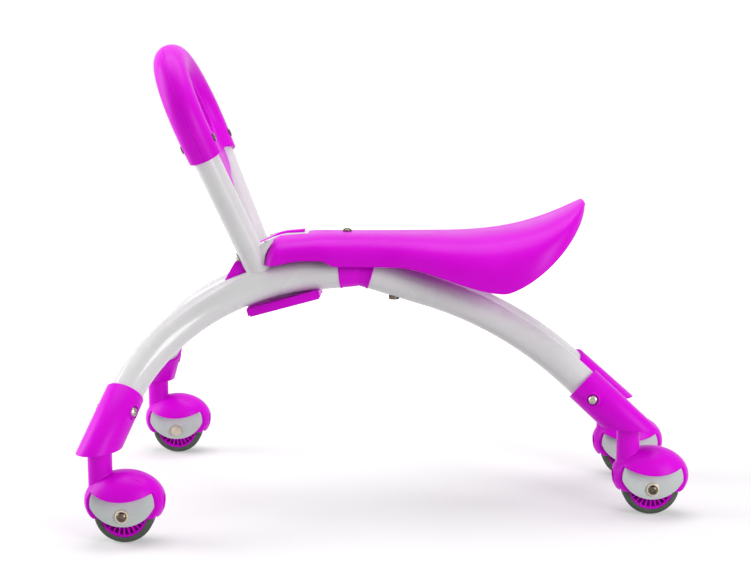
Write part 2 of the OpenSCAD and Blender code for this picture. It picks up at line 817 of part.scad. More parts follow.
// Mounting frame inside the saddle: screw bosses on the frame parts, joined by ribs
module saddle_core() {
    nose_top = tongue_z(nose_screw_x) - seat_gap - seat_t - nose_boss_drop;
    side_top = core_top - under_boss_drop;
    color(purple) difference() {
        union() {
            translate([seat_screw_x, 0, web_top]) cylinder(d = seat_boss_d, h = core_top - web_top);
            translate([nose_screw_x, 0, cradle_top])
                cylinder(d = seat_boss_d, h = nose_top - cradle_top);
            rib([nose_screw_x, 0], [seat_screw_x, 0], nose_top - rib_drop);
            both_sides() {
                difference() {
                    translate([under_screw_x, tube_y, rear_end_z])
                        cylinder(d = under_boss_d, h = side_top - rear_end_z);
                    rear_bar(rear_tube_d + 2 * fit, tube_stop, 12);
                }
                rib([seat_screw_x, 0], [under_screw_x, tube_y], side_top - rib_drop);
                rib([under_screw_x, tube_y], [wide_x - 30, tube_y], side_top - rib_drop);
            }
        }
        for (x = [seat_screw_x, nose_screw_x])
            translate([x, 0, web_bottom]) cylinder(d = hole_d, h = 80);
        both_sides() under_screw_hole();
    }
}

module nose_cover() {
    back = tongue_back - 4;
    color(purple) difference() {
        side_extrude(cover_half) polygon([
            [-foot_x - 2, tongue_low - 9.1], [shoulder_front, tongue_low - 3.4],
            [shoulder_back, tongue_low + tongue_t - 1.2], [nose_back, tongue_low + tongue_t],
            [back, tongue_z(back) + tongue_t], [back + 0.6, tongue_z(back) + tongue_t + 1.8],
            [back, tongue_z(back) + tongue_t + cover_t],
            [nose_back, tongue_low + tongue_t + cover_t - 0.2],
            [shoulder_back - 1, tongue_low + tongue_t + cover_t - 1.6],
            [shoulder_front - 1, tongue_low + cover_t - 3.6],
            [-foot_x - 2.4, tongue_low + cover_t - 9.4]]);
        on_handle() both_sides() limb_bar(handle_d + 1, 0);
    }
}

module seat_screws() {
    color(steel) {
        translate([seat_screw_x, 0, web_bottom + 4])
            cylinder(d = screw_d, h = seat_z - web_bottom - 3.5);
        translate([seat_screw_x, 0, seat_z]) cap_head();
        nose_screw_place() {
            translate([0, 0, -25]) cylinder(d = screw_d, h = 25 + tongue_t - 1);
            translate([0, 0, tongue_t - 1.7 - head_sink])
                cylinder(d1 = screw_d, d2 = screw_d + 3.4, h = 1.6);
        }
    }
}

// Screws from below: each head is hollowed to the round of its tube
module under_screws() {
    low = rear_end_z - tan(rear_slope) * (under_screw_x - joint_rear_x)
        - rear_tube_d / 2 / cos(rear_slope);
    color(steel) both_sides() {
        difference() {
            translate([under_screw_x, tube_y, low - 2.4]) cylinder(d = 10, h = 8);
            rear_bar(rear_tube_d, tube_stop);
        }
        translate([under_screw_x, tube_y, low - 1]) cylinder(d = screw_d, h = seat_z - low - 11);
    }
}

// Places a caster part, drawn round the axle's middle with +Y as the outer side
module at_axle(corner) {
    front = corner[0] == "f";
    for_left(corner[1] == "l") translate([
        (front ? -1 : 1) * wheelbase / 2, (front ? front_track : rear_track) / 2, 0])
        children();
}

module plate_outline(grow = 0) {
    intersection() {
        translate([0, plate_bottom + plate_r]) circle(plate_r + grow);
        union() {
            for (s = [-1, 1]) translate([s * plate_end_x, plate_end_z])
                circle(plate_end_r + grow);
            translate([-plate_end_x, plate_bottom - 5]) square([2 * plate_end_x, 40]);
        }
    }
}

module caster_housing(corner) {
    color(purple) at_axle(corner) difference() {
        union() {
            intersection() {
                translate([0, 0, dome_z]) rotate([0, 90, 0]) rotate_extrude() intersection() {
                    scale([dome_d / 2, dome_l / 2]) circle(1);
                    translate([0, -dome_l]) square(2 * dome_l);
                }
                translate([-dome_l, -dome_l, dome_bottom]) cube(2 * dome_l);
            }
            side_extrude(cheek_y) plate_outline(plate_border);
            translate([-trail, 0, dome_z]) cylinder(d = stem_d, h = stem_top - dome_z);
        }
        for (side = [0, 1]) mirror([0, side, 0]) translate([0, cheek_y + 20, 0]) side_extrude(20)
            difference() {
                translate([-dome_l, -1]) square([2 * dome_l, plate_tip_z + lid_rise + 20]);
                translate([0, plate_mid_z + lid_r]) circle(lid_r, $fn = 128);
            }
        side_extrude(well_w / 2) {
            translate([0, axle_z]) circle(well_r);
            translate([-well_r, -1]) square([2 * well_r, axle_z + 1]);
        }
        for (turn = [-90, 90]) translate([0, 0, pocket_z]) rotate([0, turn, 0])
            translate([0, 0, dome_l / 2 - pocket_depth]) cylinder(d = pocket_d, h = dome_l);
        translate([-trail, 0, stem_top - pin_depth]) cylinder(d = pin_d + 2 * fit, h = 40);
        translate([0, 0, axle_z]) rotate([90, 0, 0]) cylinder(d = axle_d + 2 * fit, h = 80, center = true);
    }
}

module caster_plates(corner) {
    color(pale) at_axle(corner) for (side = [0, 1]) mirror([0, side, 0])
        translate([0, cheek_y + plate_t / 2, 0]) side_extrude(plate_t / 2) difference() {
            plate_outline();
            translate([0, plate_mid_z + lid_r]) circle(lid_r + fit, $fn = 128);
            translate([0, axle_z]) circle(d = axle_d + 2 * fit);
        }
}

// Swivel pin and the ring that keeps it in its bush
module caster_pin(corner) {
    color(steel) at_axle(corner) translate([-trail, 0, 0]) {
        difference() {
            union() {
                translate([0, 0, stem_top - pin_depth])
                    cylinder(d = pin_d, h = pin_depth + hub_gap + pin_rise - 0.8);
                translate([0, 0, socket_z + pin_rise - 0.8])
                    cylinder(d1 = pin_d, d2 = pin_d - 1.6, h = 0.8);
            }
            translate([0, 0, socket_z + bush_h + ring_gap]) difference() {
                cylinder(d = pin_d + 2, h = ring_t);
                cylinder(d = groove_d, h = ring_t);
            }
        }
        translate([0, 0, socket_z + bush_h + ring_gap + 0.05]) difference() {
            cylinder(d = bush_d - 0.4, h = ring_t - 0.1);
            translate([0, 0, -1]) cylinder(d = groove_d + 2 * fit, h = 3);
        }
    }
}

// Axle bolt: domed head on the outer side, shank through both plates and the wheel
module caster_axle(corner) {
    out = plate_y + washer_t;
    color(steel) at_axle(corner) translate([0, 0, axle_z]) rotate([-90, 0, 0]) {
        translate([0, 0, -plate_y - flat_head_h + 0.6])
            cylinder(d = axle_d, h = out + plate_y + flat_head_h - 0.5);
        translate([0, 0, out]) cap_head();
    }
}

module caster_nut(corner) {
    color(steel) at_axle(corner) translate([0, 0, axle_z]) rotate([-90, 0, 0]) {
        translate([0, 0, plate_y]) difference() {
            cylinder(d = washer_d, h = washer_t);
            translate([0, 0, -1]) cylinder(d = axle_d + 2 * fit, h = 4);
        }
        translate([0, 0, -plate_y - flat_head_h]) difference() {
            cylinder(d = flat_head_d, h = flat_head_h);
            translate([0, 0, 0.5]) cylinder(d = axle_d + 2 * fit, h = 4);
        }
    }
}

module wheel_hub(corner) {
    rib_from = boss_d / 2 - 0.6;
    color(purple) at_axle(corner) translate([0, 0, axle_z]) rotate([90, 0, 0]) difference() {
        union() {
            difference() {
                cylinder(d = hub_d, h = hub_w, center = true);
                cylinder(d = hub_d - 2 * hub_rim, h = hub_w + 2, center = true);
            }
            cylinder(d = hub_d - hub_rim, h = web_t, center = true);
            cylinder(d = boss_d, h = well_w - 2 * hub_gap, center = true);
            for (i = [0:hub_ribs - 1]) rotate([0, 0, i * 360 / hub_ribs])
                translate([rib_from, -rib_t / 2, (1 - hub_w) / 2])
                    cube([(hub_d - hub_rim) / 2 - rib_from, rib_t, hub_w - 1]);
        }
        cylinder(d = axle_d + 2 * fit, h = 80, center = true);
    }
}

module wheel_tyre(corner) {
    color(rubber) at_axle(corner) translate([0, 0, axle_z]) rotate([90, 0, 0])
        rotate_extrude($fn = 128) intersection() {
            union() {
                translate([0, -tyre_w / 2]) square([wheel_d / 2 - tyre_round, tyre_w]);
                translate([0, tyre_round - tyre_w / 2]) square([wheel_d / 2, tyre_w - 2 * tyre_round]);
                for (s = [-1, 1])
                    translate([wheel_d / 2 - tyre_round, s * (tyre_w / 2 - tyre_round)])
                        circle(tyre_round);
            }
            translate([hub_d / 2 + fit, -tyre_w]) square([wheel_d, 2 * tyre_w]);
        }
}

front_tube(true);  // front_tube_left
front_tube(false);  // front_tube_right
rear_tube(true);  // rear_tube_left
rear_tube(false);  // rear_tube_right
middle_joint();
front_socket(true);  // front_socket_left
front_socket(false);  // front_socket_right
rear_socket(true);  // rear_socket_left
rear_socket(false);  // rear_socket_right
swivel_bushes();
socket_screws();
socket_nuts();
cradle();
clamp_plate();
clamp_bolts();
clamp_nuts();
handle_tube();
handle_bracket();
foot_bolts();
foot_nuts();
grip_front();
grip_rear();
grip_screws();
saddle();
saddle_core();
nose_cover();
seat_screws();
under_screws();
caster_housing("fl");  // caster_fl_housing
caster_plates("fl");  // caster_fl_plates
caster_pin("fl");  // caster_fl_pin
caster_axle("fl");  // caster_fl_axle
caster_nut("fl");  // caster_fl_nut
caster_housing("fr");  // caster_fr_housing
caster_plates("fr");  // caster_fr_plates
caster_pin("fr");  // caster_fr_pin
caster_axle("fr");  // caster_fr_axle
caster_nut("fr");  // caster_fr_nut
caster_housing("rl");  // caster_rl_housing
caster_plates("rl");  // caster_rl_plates
caster_pin("rl");  // caster_rl_pin
caster_axle("rl");  // caster_rl_axle
caster_nut("rl");  // caster_rl_nut
caster_housing("rr");  // caster_rr_housing
caster_plates("rr");  // caster_rr_plates
caster_pin("rr");  // caster_rr_pin
caster_axle("rr");  // caster_rr_axle
caster_nut("rr");  // caster_rr_nut
wheel_hub("fl");  // wheel_fl_hub
wheel_tyre("fl");  // wheel_fl_tyre
wheel_hub("fr");  // wheel_fr_hub
wheel_tyre("fr");  // wheel_fr_tyre
wheel_hub("rl");  // wheel_rl_hub
wheel_tyre("rl");  // wheel_rl_tyre
wheel_hub("rr");  // wheel_rr_hub
wheel_tyre("rr");  // wheel_rr_tyre
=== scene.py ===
import json
import math

import bpy
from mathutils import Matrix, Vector

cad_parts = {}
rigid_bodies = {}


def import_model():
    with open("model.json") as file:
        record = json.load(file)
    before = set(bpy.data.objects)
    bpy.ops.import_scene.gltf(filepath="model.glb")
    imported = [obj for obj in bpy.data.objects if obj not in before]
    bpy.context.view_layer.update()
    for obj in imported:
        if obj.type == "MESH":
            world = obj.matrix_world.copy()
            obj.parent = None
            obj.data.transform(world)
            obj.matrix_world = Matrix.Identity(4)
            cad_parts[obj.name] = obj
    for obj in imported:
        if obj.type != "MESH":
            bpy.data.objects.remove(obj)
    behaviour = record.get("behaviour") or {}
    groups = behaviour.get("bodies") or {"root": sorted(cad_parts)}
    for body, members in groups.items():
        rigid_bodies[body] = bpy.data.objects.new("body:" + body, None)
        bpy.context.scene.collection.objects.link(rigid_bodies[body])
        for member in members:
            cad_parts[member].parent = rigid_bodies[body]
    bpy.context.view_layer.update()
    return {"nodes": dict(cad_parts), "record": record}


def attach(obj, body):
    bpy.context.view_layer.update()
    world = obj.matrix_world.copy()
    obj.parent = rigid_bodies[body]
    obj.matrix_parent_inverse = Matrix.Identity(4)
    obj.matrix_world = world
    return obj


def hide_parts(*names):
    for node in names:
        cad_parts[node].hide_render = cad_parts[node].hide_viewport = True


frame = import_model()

CORNERS = ("fl", "fr", "rl", "rr")
SIDES = ("left", "right")

# In metres and radians
MM = 0.001
SAME_PLACE = 2e-6
FLAT_ANGLE = math.radians(0.4)
EDGE_ANGLE = math.radians(32)
SMOOTH_ANGLE = math.radians(40)


# Small helpers for working on one object at a time

def alone(piece):
    """Makes one object the only selected and the active one."""
    if bpy.context.object and bpy.context.object.mode != "OBJECT":
        bpy.ops.object.mode_set(mode="OBJECT")
    bpy.ops.object.select_all(action="DESELECT")
    piece.select_set(True)
    bpy.context.view_layer.objects.active = piece


def apply_modifier(piece, kind, **settings):
    """Adds one modifier with its settings and applies it."""
    alone(piece)
    modifier = piece.modifiers.new(kind.lower(), kind)
    for key, value in settings.items():
        setattr(modifier, key, value)
    bpy.ops.object.modifier_apply(modifier=modifier.name)


def face_outward(piece):
    """Turns the faces outward and shades the piece smooth up to a clear edge."""
    alone(piece)
    bpy.ops.object.mode_set(mode="EDIT")
    bpy.ops.mesh.select_all(action="SELECT")
    bpy.ops.mesh.normals_make_consistent(inside=False)
    bpy.ops.object.mode_set(mode="OBJECT")
    bpy.ops.object.shade_smooth_by_angle(angle=SMOOTH_ANGLE)


def belongs(piece, body, slot, material, *nodes):
    """Gives a finished piece its material, its body and the nodes that it stands for."""
    piece.data.materials.clear()
    piece.data.materials.append(material)
    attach(piece, body)
    if nodes:
        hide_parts(*nodes)
    return piece


def moulding_from(node, name):
    """A merged copy of a construction node's mesh, to be finished as a moulding."""
    piece = bpy.data.objects.new(name, frame["nodes"][node].data.copy())
    bpy.context.scene.collection.objects.link(piece)
    alone(piece)
    bpy.ops.object.mode_set(mode="EDIT")
    bpy.ops.mesh.select_all(action="SELECT")
    bpy.ops.mesh.remove_doubles(threshold=SAME_PLACE)
    bpy.ops.mesh.normals_make_consistent(inside=False)
    bpy.ops.object.mode_set(mode="OBJECT")
    bpy.ops.mesh.customdata_custom_splitnormals_clear()
    return piece


def soften(piece, grain, turns, keep):
    """Rounds every edge as a mould does: an even skin, relaxed a few times, then thinned."""
    alone(piece)
    piece.data.remesh_voxel_size = grain
    piece.data.remesh_voxel_adaptivity = 0
    bpy.ops.object.voxel_remesh()
    apply_modifier(piece, "SMOOTH", factor=0.5, iterations=turns)
    apply_modifier(piece, "DECIMATE", ratio=keep)
    bpy.ops.object.shade_smooth()


def break_edges(piece, width):
    """Puts a small round on the edges of a stiff piece."""
    alone(piece)
    bpy.ops.object.mode_set(mode="EDIT")
    bpy.ops.mesh.select_all(action="SELECT")
    bpy.ops.mesh.dissolve_limited(angle_limit=FLAT_ANGLE)
    bpy.ops.object.mode_set(mode="OBJECT")
    apply_modifier(piece, "BEVEL", width=width, segments=2, limit_method="ANGLE",
                   angle_limit=EDGE_ANGLE, use_clamp_overlap=True)
    bpy.ops.object.shade_smooth_by_angle(angle=SMOOTH_ANGLE)


def select_where(piece, chosen):
    """Enters edit mode with the vertices selected that a test picks by their place."""
    alone(piece)
    bpy.ops.object.mode_set(mode="EDIT")
    bpy.ops.mesh.select_mode(type="VERT")
    bpy.ops.mesh.select_all(action="DESELECT")
    bpy.ops.object.mode_set(mode="OBJECT")
    for vertex in piece.data.vertices:
        vertex.select = chosen(vertex.co)
    bpy.ops.object.mode_set(mode="EDIT")


def reshape(piece, chosen, shift, slim=1.0):
    """Narrows the vertices that a test picks about the middle plane, and moves them."""
    select_where(piece, chosen)
    if slim < 1:
        bpy.ops.transform.resize(value=(1, slim, 1), center_override=(0, 0, 0))
    bpy.ops.transform.translate(value=shift)
    bpy.ops.object.mode_set(mode="OBJECT")


# Finishes

GRAIN_DETAIL = 2
PATCH_DETAIL = 3
TINT_DETAIL = 4
GLOSS_BAND = (0.3, 0.7)
TINT_BAND = (0.42, 0.62)


def node_group(name, inputs, outputs):
    """An empty shader group with its named sockets: (name, kind, default)."""
    group = bpy.data.node_groups.new(name, "ShaderNodeTree")
    for label, kind, default in inputs:
        socket = group.interface.new_socket(name=label, in_out="INPUT", socket_type=kind)
        if default is not None:
            socket.default_value = default
    for label, kind in outputs:
        group.interface.new_socket(name=label, in_out="OUTPUT", socket_type=kind)
    return group, group.nodes.new("NodeGroupInput"), group.nodes.new("NodeGroupOutput")


def make_skin_group():
    """Fine moulded or painted skin: a height and an uneven gloss from two sizes of noise."""
    group, given, out = node_group(
        "fine_skin",
        [("Vector", "NodeSocketVector", None), ("Grain Scale", "NodeSocketFloat", 900.0),
         ("Patch Scale", "NodeSocketFloat", 40.0), ("Smooth Side", "NodeSocketFloat", 0.3),
         ("Dull Side", "NodeSocketFloat", 0.4)],
        [("Roughness", "NodeSocketFloat"), ("Height", "NodeSocketFloat")])
    nodes, links = group.nodes, group.links
    grain = nodes.new("ShaderNodeTexNoise")
    grain.inputs["Detail"].default_value = GRAIN_DETAIL
    patch = nodes.new("ShaderNodeTexNoise")
    patch.inputs["Detail"].default_value = PATCH_DETAIL
    gloss = nodes.new("ShaderNodeMapRange")
    gloss.inputs["From Min"].default_value = GLOSS_BAND[0]
    gloss.inputs["From Max"].default_value = GLOSS_BAND[1]
    for noise, scale in ((grain, "Grain Scale"), (patch, "Patch Scale")):
        links.new(given.outputs["Vector"], noise.inputs["Vector"])
        links.new(given.outputs[scale], noise.inputs["Scale"])
    links.new(patch.outputs["Fac"], gloss.inputs["Value"])
    links.new(given.outputs["Smooth Side"], gloss.inputs["To Min"])
    links.new(given.outputs["Dull Side"], gloss.inputs["To Max"])
    links.new(gloss.outputs["Result"], out.inputs["Roughness"])
    links.new(grain.outputs["Fac"], out.inputs["Height"])
    return group


def make_tint_group():
    """Two near colours mixed in soft patches, as pigment and handling leave them."""
    group, given, out = node_group(
        "soft_tint",
        [("Vector", "NodeSocketVector", None), ("Scale", "NodeSocketFloat", 30.0),
         ("Main Colour", "NodeSocketColor", (0.5, 0.5, 0.5, 1)),
         ("Patch Colour", "NodeSocketColor", (0.5, 0.5, 0.5, 1))],
        [("Color", "NodeSocketColor")])
    nodes, links = group.nodes, group.links
    noise = nodes.new("ShaderNodeTexNoise")
    noise.inputs["Detail"].default_value = TINT_DETAIL
    ramp = nodes.new("ShaderNodeMapRange")
    ramp.interpolation_type = "SMOOTHSTEP"
    ramp.inputs["From Min"].default_value = TINT_BAND[0]
    ramp.inputs["From Max"].default_value = TINT_BAND[1]
    mix = nodes.new("ShaderNodeMix")
    mix.data_type = "RGBA"
    links.new(given.outputs["Vector"], noise.inputs["Vector"])
    links.new(given.outputs["Scale"], noise.inputs["Scale"])
    links.new(noise.outputs["Fac"], ramp.inputs["Value"])
    links.new(ramp.outputs["Result"], mix.inputs["Factor"])
    links.new(given.outputs["Main Colour"], mix.inputs[6])
    links.new(given.outputs["Patch Colour"], mix.inputs[7])
    links.new(mix.outputs[2], out.inputs["Color"])
    return group


SKIN = make_skin_group()
TINT = make_tint_group()


def finish(name, main, patch, gloss, grain, depth, tint_scale=30.0, patch_scale=40.0,
           metallic=0.0, coat=0.0, coat_roughness=0.1, specular=0.5):
    """One surface finish: tinted colour, uneven gloss and a fine bump of a real depth."""
    material = bpy.data.materials.new(name)
    material.use_nodes = True
    nodes, links = material.node_tree.nodes, material.node_tree.links
    shader = nodes["Principled BSDF"]
    shader.inputs["Metallic"].default_value = metallic
    shader.inputs["Coat Weight"].default_value = coat
    shader.inputs["Coat Roughness"].default_value = coat_roughness
    shader.inputs["Specular IOR Level"].default_value = specular
    place = nodes.new("ShaderNodeTexCoord")
    skin = nodes.new("ShaderNodeGroup")
    skin.node_tree = SKIN
    skin.inputs["Grain Scale"].default_value = grain
    skin.inputs["Patch Scale"].default_value = patch_scale
    skin.inputs["Smooth Side"].default_value = gloss[0]
    skin.inputs["Dull Side"].default_value = gloss[1]
    tint = nodes.new("ShaderNodeGroup")
    tint.node_tree = TINT
    tint.inputs["Scale"].default_value = tint_scale
    tint.inputs["Main Colour"].default_value = (*main, 1)
    tint.inputs["Patch Colour"].default_value = (*patch, 1)
    bump = nodes.new("ShaderNodeBump")
    bump.inputs["Distance"].default_value = depth
    bump.inputs["Strength"].default_value = 1
    for group in (skin, tint):
        links.new(place.outputs["Object"], group.inputs["Vector"])
    links.new(tint.outputs["Color"], shader.inputs["Base Color"])
    links.new(skin.outputs["Roughness"], shader.inputs["Roughness"])
    links.new(skin.outputs["Height"], bump.inputs["Height"])
    links.new(bump.outputs["Normal"], shader.inputs["Normal"])
    return material


purple = finish("purple_moulding", (0.70, 0.0015, 0.70), (0.72, 0.003, 0.72), (0.30, 0.38),
                grain=1500, depth=0.000012, specular=0.09)
white_coat = finish("white_powder_coat", (0.71, 0.71, 0.71), (0.73, 0.73, 0.73), (0.22, 0.3),
                    grain=700, depth=0.00001, coat=0.5, coat_roughness=0.07, specular=0.4)
white_moulding = finish("white_moulding", (0.74, 0.74, 0.74), (0.76, 0.76, 0.76), (0.32, 0.40),
                        grain=1500, depth=0.00001)
pale_plate = finish("pale_side_plate", (0.60, 0.65, 0.63), (0.63, 0.68, 0.66), (0.42, 0.52),
                    grain=1200, depth=0.00002, specular=0.35)
dark_bush = finish("dark_bush", (0.03, 0.03, 0.03), (0.04, 0.04, 0.04), (0.4, 0.5),
                   grain=1200, depth=0.00001)
steel = finish("zinc_plated_steel", (0.44, 0.42, 0.36), (0.38, 0.36, 0.31), (0.16, 0.26),
               grain=1800, depth=0.000004, metallic=1.0, tint_scale=120, patch_scale=300)
# The darker steel of the axle heads and of the grip, seat and under screws paints shade and
# dark reflections into their colour.
dark_steel = finish("browned_steel", (0.13, 0.105, 0.08), (0.10, 0.085, 0.065), (0.18, 0.28),
                    grain=1800, depth=0.000004, metallic=1.0, tint_scale=120, patch_scale=300)
pale_washer = finish("yellow_zinc_washer", (0.60, 0.52, 0.41), (0.54, 0.47, 0.37), (0.22, 0.34),
                     grain=1800, depth=0.000005, metallic=1.0, tint_scale=120, patch_scale=300)
tyre_skin = finish("soft_tyre", (0.068, 0.092, 0.066), (0.080, 0.106, 0.078), (0.5, 0.65),
                   grain=1600, depth=0.00003, tint_scale=90, specular=0.35)

FINISH_OF_SLOT = {
    "white_paint": white_coat, "white_plastic": white_moulding, "purple_plastic": purple,
    "pale_plastic": pale_plate, "dark_plastic": dark_bush, "steel": steel,
    "tyre_rubber": tyre_skin}
SLOT_OF_NODE = {part["node"]: part["material_slot"] for part in frame["record"]["subparts"]}
BODY_OF_NODE = {node: body for body, members in frame["record"]["behaviour"]["bodies"].items()
                for node in members}


def finish_of(node):
    """The finish of a node: its slot's, but for the darkened heads, whose darker steel paints
    shade and dark reflections, and the axle washers.
    """
    if node.endswith("_axle") or node in ("grip_screws", "under_screws", "seat_screws"):
        return dark_steel
    if node.endswith("_nut"):
        return pale_washer
    return FINISH_OF_SLOT[SLOT_OF_NODE[node]]


for node, obj in frame["nodes"].items():
    obj.data.materials.clear()
    obj.data.materials.append(finish_of(node))


# Mouldings and hardware made from the construction nodes

# Edge rounds are in millimetres. A moulding's skin has its grain in millimetres, the turns
# of relaxing and the share of faces that is kept.

HARDWARE_ROUND = 0.2
HUB_ROUND = 0.12
PLATES_ROUND = 0.35
JOINT_ROUND = 0.3
CLAMP_ROUND = 1.0
BRACKET_ROUND = 0.6
COVER_ROUND = 0.5
SOCKET_ROUND = 0.8
HOUSING_SKIN = (0.5, 5, 0.4)
CRADLE_SKIN = (0.9, 7, 0.5)
GRIP_SKIN = (0.75, 3, 0.5)


def in_place_of(node, piece):
    """Gives a finished piece the node's finish and body, and puts it in its place."""
    return belongs(piece, BODY_OF_NODE[node], SLOT_OF_NODE[node], finish_of(node), node)


def softened(node, grain, turns, keep):
    """The node's moulding with softly rounded edges, in the node's place."""
    piece = moulding_from(node, node + "_moulding")
    soften(piece, grain * MM, turns, keep)
    return in_place_of(node, piece)


def edged(node, width):
    """The node's stiff piece with small rounds on its edges, in the node's place."""
    piece = moulding_from(node, node + "_edged")
    break_edges(piece, width * MM)
    return in_place_of(node, piece)


for corner in CORNERS:
    softened(f"caster_{corner}_housing", *HOUSING_SKIN)
    edged(f"caster_{corner}_plates", PLATES_ROUND)
    edged(f"caster_{corner}_axle", HARDWARE_ROUND)
    edged(f"caster_{corner}_nut", HARDWARE_ROUND)
    edged(f"wheel_{corner}_hub", HUB_ROUND)

softened("cradle", *CRADLE_SKIN)
edged("middle_joint", JOINT_ROUND)
for node in ("clamp_bolts", "clamp_nuts", "foot_bolts", "foot_nuts", "grip_screws",
             "seat_screws", "under_screws"):
    edged(node, HARDWARE_ROUND)
for node in ("grip_front", "grip_rear"):
    softened(node, *GRIP_SKIN)


# The clamp plate ends short of the joint; the bracket's tongue lies in the saddle's skin,
# with the slim cover strip on top. These places and moves are in metres.

PLATE_END = -0.072
PLATE_SIDE = 0.02
PLATE_SHIFT = (-0.0025, 0, -0.00067)
TONGUE_FROM = -0.1105
TONGUE_SLIM = 0.6
TONGUE_SHIFT = (0, 0, -0.0013)
TAPER_FROM = -0.0845
TAPER_SHIFT = (0, 0, -0.0009)
COVER_SLIM = 0.6
COVER_SHIFT = (0, 0, -0.0015)

plate = edged("clamp_plate", CLAMP_ROUND)
reshape(plate, lambda place: place.x > PLATE_END and abs(place.y) > PLATE_SIDE, PLATE_SHIFT)
bracket = edged("handle_bracket", BRACKET_ROUND)
reshape(bracket, lambda place: place.x > TONGUE_FROM, TONGUE_SHIFT, TONGUE_SLIM)
reshape(bracket, lambda place: place.x > TAPER_FROM, TAPER_SHIFT)
cover = edged("nose_cover", COVER_ROUND)
reshape(cover, lambda place: True, COVER_SHIFT, COVER_SLIM)


# Sockets: every screw head on the outer side of its sleeve, inside a raised ring. Places
# and directions are those of the right side, in millimetres.

FRONT_STEM = Vector((-253.7, 140.5, 80.5))
FRONT_UP = Vector((0.2651, -0.6735, 0.6900))
REAR_STEM = Vector((212.3, 58.5, 80.5))
REAR_UP = Vector((-0.7154, -0.2532, 0.6512))
SLEEVE_RADIUS = 17.2
SCREW_FROM = 40
RING_RADIUS = 6.1
RING_BEAD = 0.95
RING_STEPS = 48
BEAD_STEPS = 12


def on_side(vector, side):
    """A direction or place of the right side, mirrored for the left side."""
    return Vector((vector.x, -vector.y, vector.z)) if side == "left" else vector.copy()


def sleeve_outward(up):
    """Level direction square to a right-hand sleeve, to its outer side."""
    level = Vector((-up.y, up.x, 0)).normalized()
    return level if level.y > 0 else -level


def turn_in_sleeve(piece, side):
    """Mirrors a rear piece in the upright plane through the sleeve's axis."""
    point = on_side(REAR_STEM, side) * MM
    across = on_side(sleeve_outward(REAR_UP), side)
    piece.scale = (-1, 1, 1)
    piece.rotation_euler = (0, 0, 2 * math.atan2(across.y, across.x))
    piece.location = 2 * point.dot(across) * across
    alone(piece)
    bpy.ops.object.transform_apply(location=True, rotation=True, scale=True)
    face_outward(piece)


def socket_hardware(node):
    """Screws or nuts of the sockets, with the rear ones turned about in their sleeves."""
    piece = moulding_from(node, node + "_edged")
    break_edges(piece, HARDWARE_ROUND * MM)
    bpy.ops.object.mode_set(mode="EDIT")
    bpy.ops.mesh.select_all(action="SELECT")
    bpy.ops.mesh.separate(type="LOOSE")
    bpy.ops.object.mode_set(mode="OBJECT")
    parts = [obj for obj in bpy.data.objects if obj.name.startswith(piece.name)]
    for part in parts:
        middle = sum((Vector(corner) for corner in part.bound_box), Vector()) / 8
        if middle.x > 0:
            turn_in_sleeve(part, "left" if middle.y < 0 else "right")
    alone(piece)
    for part in parts:
        part.select_set(True)
    bpy.ops.object.join()
    in_place_of(node, piece)


def make_ring(name, stem, up, side):
    """A bead round one screw recess, bent to the round of its sleeve."""
    outward = on_side(sleeve_outward(up), side)
    up, stem = on_side(up, side), on_side(stem, side)
    across = up.cross(outward)
    bpy.ops.object.select_all(action="DESELECT")
    bpy.ops.mesh.primitive_torus_add(major_segments=RING_STEPS, minor_segments=BEAD_STEPS,
                                     major_radius=RING_RADIUS, minor_radius=RING_BEAD)
    ring = bpy.context.object
    ring.name = name
    middle = stem + up * SCREW_FROM
    for vertex in ring.data.vertices:
        a, b, rise = vertex.co
        round_height = math.sqrt(SLEEVE_RADIUS ** 2 - b * b)
        vertex.co = (middle + up * a + across * b + outward * (round_height + rise)) * MM
    face_outward(ring)
    belongs(ring, BODY_OF_NODE["saddle"], "purple_plastic", purple)


for node in ("socket_screws", "socket_nuts"):
    socket_hardware(node)
for side in SIDES:
    edged(f"front_socket_{side}", SOCKET_ROUND)
    turn_in_sleeve(edged(f"rear_socket_{side}", SOCKET_ROUND), side)
    make_ring(f"front_screw_ring_{side}", FRONT_STEM, FRONT_UP, side)
    make_ring(f"rear_screw_ring_{side}", REAR_STEM, REAR_UP, side)


# The saddle shell: drawn on the construction's stations, but finer, with a fuller nose and
# with the skirt arched over the front tubes. Lengths are in millimetres.

SEAT_Z = 253
NOSE_X = -121
NOSE_BACK = -103
NOSE_DIP = 2.4
DIP_X = -74
NOSE_CORNER = 14
NOSE_HALF = 45
NOSE_FULLNESS = 2.7
SEAT_HALF = 73
WIDE_X = 100
TAIL_X = 175
TAIL_ROUND = 2.5
RISE_FROM = 30
TAIL_RISE = 32
LIP_HEIGHT = 4
SKIRT_Z = 225
SKIRT_LOW_Z = 204.5
LOW_X = 97
WALL = 3
FULLNESS = 2.8
SKIRT_CURVE = 1.4
TAIL_CURVE = 2.2
TAIL_CLOSING = 0.99
RISE_CURVE = 2.8
ARCH_RISE = 5.4
ARCH_FROM = -119
ARCH_GROWTH = 32
ARCH_TO = -69
ARCH_STEP = 13
NOSE_SHARE = 0.2
MID_SHARE = 0.45
STATIONS = 130
ACROSS = 72
RIM_ROUND = 0.7
RIM_ANGLE = math.radians(50)
QUARTER = math.radians(90)
HANDLE_LEAN = math.radians(22.7)
LIMB_ANGLE = math.radians(14.5)
LIMB_FOOT = Vector((-128, 24, 222))
LIMB_ROOM = 10.6


def smooth(t):
    """Soft step from 0 to 1."""
    t = min(1, max(0, t))
    return t * t * (3 - 2 * t)


